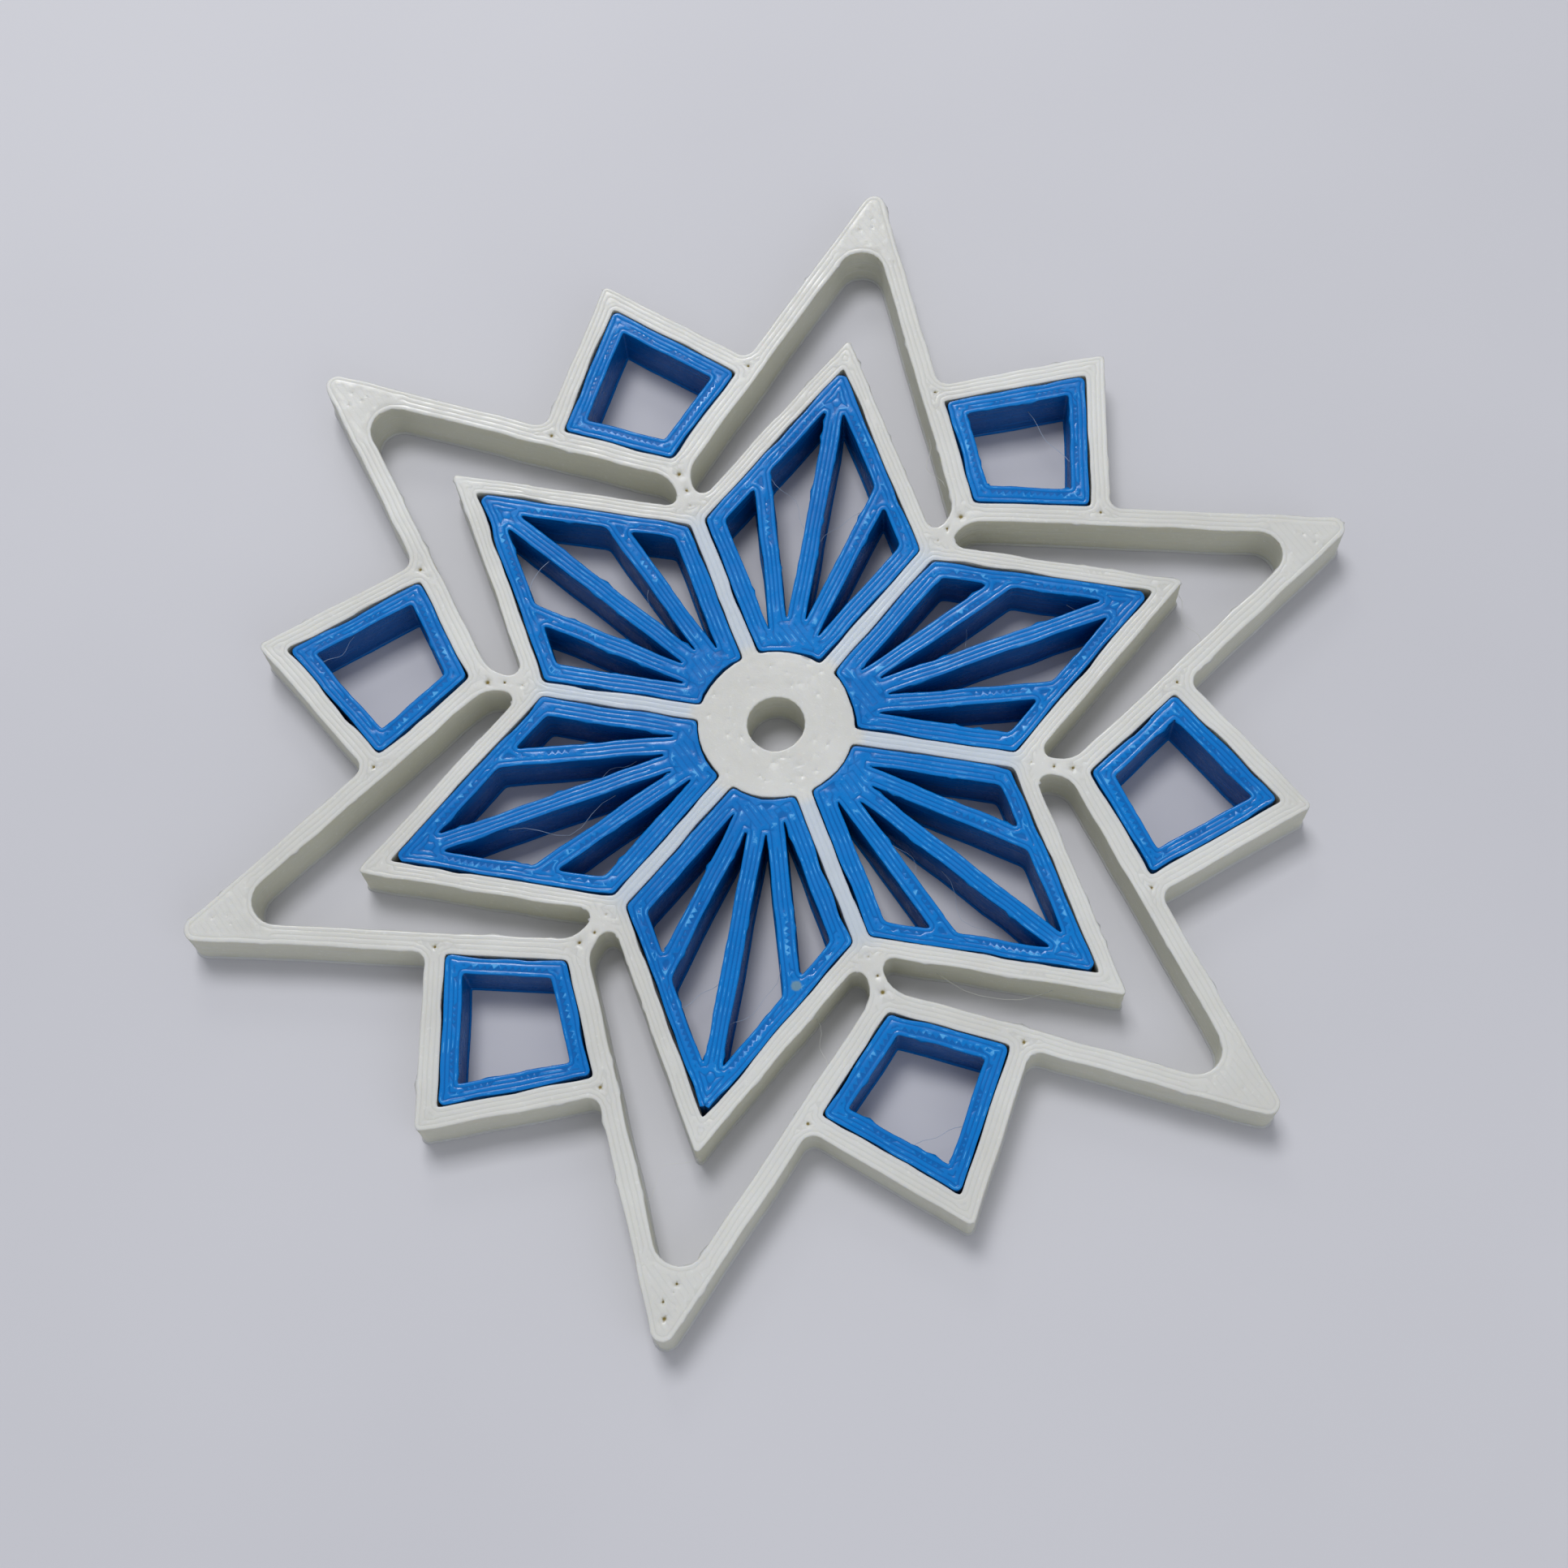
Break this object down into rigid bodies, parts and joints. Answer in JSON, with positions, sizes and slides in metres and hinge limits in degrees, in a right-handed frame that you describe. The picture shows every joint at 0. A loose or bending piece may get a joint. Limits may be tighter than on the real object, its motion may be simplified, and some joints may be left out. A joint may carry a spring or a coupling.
{
  "type": "snowflake star ornament",
  "caption": "Flat snowflake star in printed plastic: a pierced frame with a hub hole, ribbed petal inserts around the hub and kite-shaped ring inserts between the points.",
  "frame": {"origin": "centre of the hub hole, on the flat back face", "axes": "+Z out of the front face, +Y through one star point, +X through the middle of the valley between two points"},
  "size_m": [0.087, 0.1002, 0.0046],
  "materials": {
    "white_print": "translucent off-white printed plastic, satin, with fine bead and layer lines",
    "blue_print": "azure blue printed plastic, satin, with fine bead and layer lines"
  },
  "bodies": {
    "frame": {"snowflake_frame": "white_print"},
    "petal_1": {"petal_insert_1": "blue_print"},
    "petal_2": {"petal_insert_2": "blue_print"},
    "petal_3": {"petal_insert_3": "blue_print"},
    "petal_4": {"petal_insert_4": "blue_print"},
    "petal_5": {"petal_insert_5": "blue_print"},
    "petal_6": {"petal_insert_6": "blue_print"},
    "kite_1": {"kite_insert_1": "blue_print"},
    "kite_2": {"kite_insert_2": "blue_print"},
    "kite_3": {"kite_insert_3": "blue_print"},
    "kite_4": {"kite_insert_4": "blue_print"},
    "kite_5": {"kite_insert_5": "blue_print"},
    "kite_6": {"kite_insert_6": "blue_print"}
  },
  "joints": [
    {"name": "petal_1_push_out", "type": "slide", "parent": "frame", "child": "petal_1", "axis": [0, 0, 1], "range_m": [0, 0.006]},
    {"name": "petal_2_push_out", "type": "slide", "parent": "frame", "child": "petal_2", "axis": [0, 0, 1], "range_m": [0, 0.006]},
    {"name": "petal_3_push_out", "type": "slide", "parent": "frame", "child": "petal_3", "axis": [0, 0, 1], "range_m": [0, 0.006]},
    {"name": "petal_4_push_out", "type": "slide", "parent": "frame", "child": "petal_4", "axis": [0, 0, 1], "range_m": [0, 0.006]},
    {"name": "petal_5_push_out", "type": "slide", "parent": "frame", "child": "petal_5", "axis": [0, 0, 1], "range_m": [0, 0.006]},
    {"name": "petal_6_push_out", "type": "slide", "parent": "frame", "child": "petal_6", "axis": [0, 0, 1], "range_m": [0, 0.006]},
    {"name": "kite_1_push_out", "type": "slide", "parent": "frame", "child": "kite_1", "axis": [0, 0, 1], "range_m": [0, 0.006]},
    {"name": "kite_2_push_out", "type": "slide", "parent": "frame", "child": "kite_2", "axis": [0, 0, 1], "range_m": [0, 0.006]},
    {"name": "kite_3_push_out", "type": "slide", "parent": "frame", "child": "kite_3", "axis": [0, 0, 1], "range_m": [0, 0.006]},
    {"name": "kite_4_push_out", "type": "slide", "parent": "frame", "child": "kite_4", "axis": [0, 0, 1], "range_m": [0, 0.006]},
    {"name": "kite_5_push_out", "type": "slide", "parent": "frame", "child": "kite_5", "axis": [0, 0, 1], "range_m": [0, 0.006]},
    {"name": "kite_6_push_out", "type": "slide", "parent": "frame", "child": "kite_6", "axis": [0, 0, 1], "range_m": [0, 0.006]}
  ]
}
